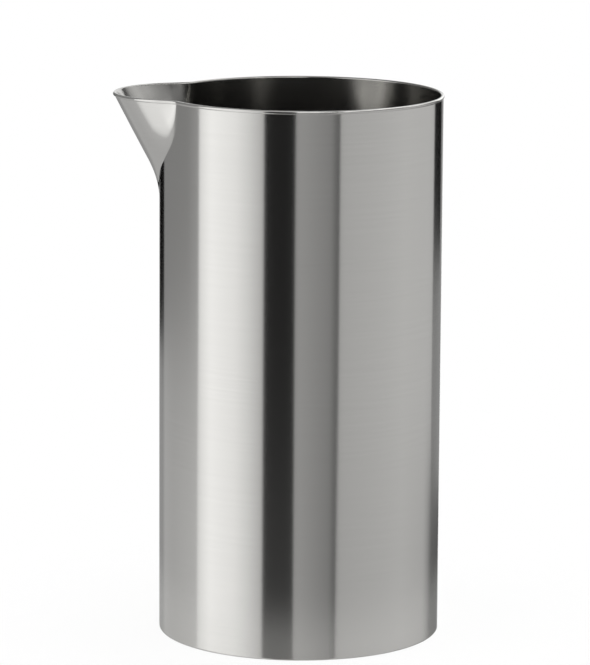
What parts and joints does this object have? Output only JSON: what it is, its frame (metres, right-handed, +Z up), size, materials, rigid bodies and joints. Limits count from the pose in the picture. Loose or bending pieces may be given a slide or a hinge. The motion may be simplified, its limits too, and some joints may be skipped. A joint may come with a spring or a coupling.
{
  "type": "cream jug",
  "caption": "Upright cylindrical cream jug in satin-brushed steel, with a flat welded base, a thin rolled lip and a pouring spout let into the rim; it has no handle.",
  "frame": {"origin": "centre of the flat underside, on the axis of the tube", "axes": "+Z up along the tube, the spout points along -X, the part is symmetric about the XZ plane"},
  "size_m": [0.0584, 0.0502, 0.0964],
  "materials": {
    "wall_steel": "satin, brushed round the wall",
    "base_steel": "satin, turned in fine circles",
    "weld_steel": "dressed weld, satin"
  },
  "bodies": {
    "root": {"body_tube": "wall_steel", "spout": "wall_steel", "spout_weld": "wall_steel", "base_disc": "base_steel", "base_weld": "weld_steel"}
  },
  "joints": []
}
